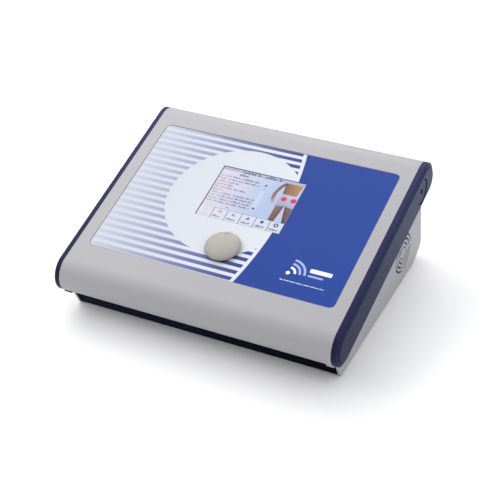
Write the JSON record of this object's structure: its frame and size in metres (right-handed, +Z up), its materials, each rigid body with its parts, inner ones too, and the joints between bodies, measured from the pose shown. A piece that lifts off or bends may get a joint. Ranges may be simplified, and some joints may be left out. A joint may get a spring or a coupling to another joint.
{
  "type": "ultrasound therapy device",
  "caption": "Tabletop ultrasound therapy console: sloped panel with touch display and push-and-turn knob, rounded end caps, wedge base with fan grille, side handpiece socket, rear mains inlet.",
  "frame": {"origin": "on the supporting surface, under the middle of the bounding box", "axes": "+Z up, +X to the operator's right and along the longest side, -Y towards the operator"},
  "size_m": [0.382, 0.313, 0.1462],
  "materials": {
    "cover_grey": "fine satin texture",
    "inner_plastic": "matte",
    "cap_navy": "satin",
    "strip_navy": "satin",
    "base_grey": "fine satin texture",
    "overlay_print": "printed polyester film",
    "touch_glass": "glossy, lit screen",
    "lcd_metal": "folded sheet",
    "plated_steel": "zinc plated",
    "screw_steel": "zinc plated",
    "shaft_aluminium": "turned",
    "knob_cream": "satin",
    "black_plastic": "matte",
    "rocker_black": "gloss",
    "fan_black": "matte",
    "contact_brass": "bright",
    "circuit_board": "solder resist",
    "chip_black": "moulded epoxy",
    "capacitor_can": "sleeved",
    "connector_ivory": "moulded",
    "rear_metal": "powder coat",
    "plate_label": "satin, blank",
    "foot_rubber": "moulded",
    "fuse_glass": "clear",
    "transformer_core": "varnished",
    "heatsink_aluminium": "extruded",
    "coil_copper": "enamelled wire",
    "ribbon_film": "film",
    "lead_rubber": "pvc sheath"
  },
  "bodies": {
    "console": {"top_cover": "cover_grey", "lower_shell": "inner_plastic", "end_cap_left": "cap_navy", "end_cap_right": "cap_navy", "front_overlay": "overlay_print", "touch_panel": "touch_glass", "lcd_module": "lcd_metal", "lcd_bracket": "plated_steel", "lcd_screws": "screw_steel", "encoder_body": "black_plastic", "encoder_nut": "screw_steel", "encoder_board": "circuit_board", "tact_switch": "black_plastic", "socket_bezel": "cap_navy", "socket_body": "black_plastic", "socket_contact": "contact_brass", "main_board": "circuit_board", "board_chips": "chip_black", "board_capacitors": "capacitor_can", "board_connectors": "connector_ivory", "buzzer": "black_plastic", "board_standoffs": "contact_brass", "board_screws": "screw_steel", "shell_screws": "screw_steel", "base_tray": "base_grey", "front_strip": "strip_navy", "rear_panel": "rear_metal", "rear_panel_screws": "screw_steel", "base_screws": "screw_steel", "rubber_feet": "foot_rubber", "rating_plate": "plate_label", "inlet_housing": "black_plastic", "inlet_pins": "contact_brass", "fan_frame": "black_plastic", "fan_screws": "screw_steel", "power_supply_board": "circuit_board", "mains_transformer": "transformer_core", "bulk_capacitors": "capacitor_can", "supply_heatsink": "heatsink_aluminium", "generator_board": "circuit_board", "generator_heatsink": "heatsink_aluminium", "power_transistors": "chip_black", "output_coils": "coil_copper", "output_terminals": "connector_ivory", "board_posts": "contact_brass", "display_ribbon": "ribbon_film", "handpiece_lead": "lead_rubber", "mains_wires": "lead_rubber", "dc_cable": "lead_rubber"},
    "push_stem": {"push_plunger": "black_plastic"},
    "knob": {"control_knob": "knob_cream", "encoder_shaft": "shaft_aluminium"},
    "rocker": {"power_rocker": "rocker_black"},
    "drawer": {"fuse_drawer": "black_plastic", "fuses": "fuse_glass"},
    "rotor": {"fan_rotor": "fan_black"}
  },
  "joints": [
    {"name": "knob_push", "type": "slide", "parent": "console", "child": "push_stem", "axis": [0, 0.2475, -0.9689], "range_m": [0, 0.0006], "stiffness_N_per_m": 6000, "springref_m": -0.0003},
    {"name": "knob_turn", "type": "hinge", "parent": "push_stem", "child": "knob", "pos_m": [0.00175, -0.06689, 0.10106], "axis": [0, -0.2475, 0.9689], "continuous": true},
    {"name": "power_rock", "type": "hinge", "parent": "console", "child": "rocker", "pos_m": [-0.136, 0.1325, 0.05], "axis": [-1, 0, 0], "range_deg": [0, 16]},
    {"name": "fuse_drawer_pull", "type": "slide", "parent": "console", "child": "drawer", "axis": [0, 1, 0], "range_m": [0, 0.022]},
    {"name": "fan_spin", "type": "hinge", "parent": "console", "child": "rotor", "pos_m": [0.1701, 0.0776, 0.0435], "axis": [1, 0, 0], "continuous": true}
  ]
}
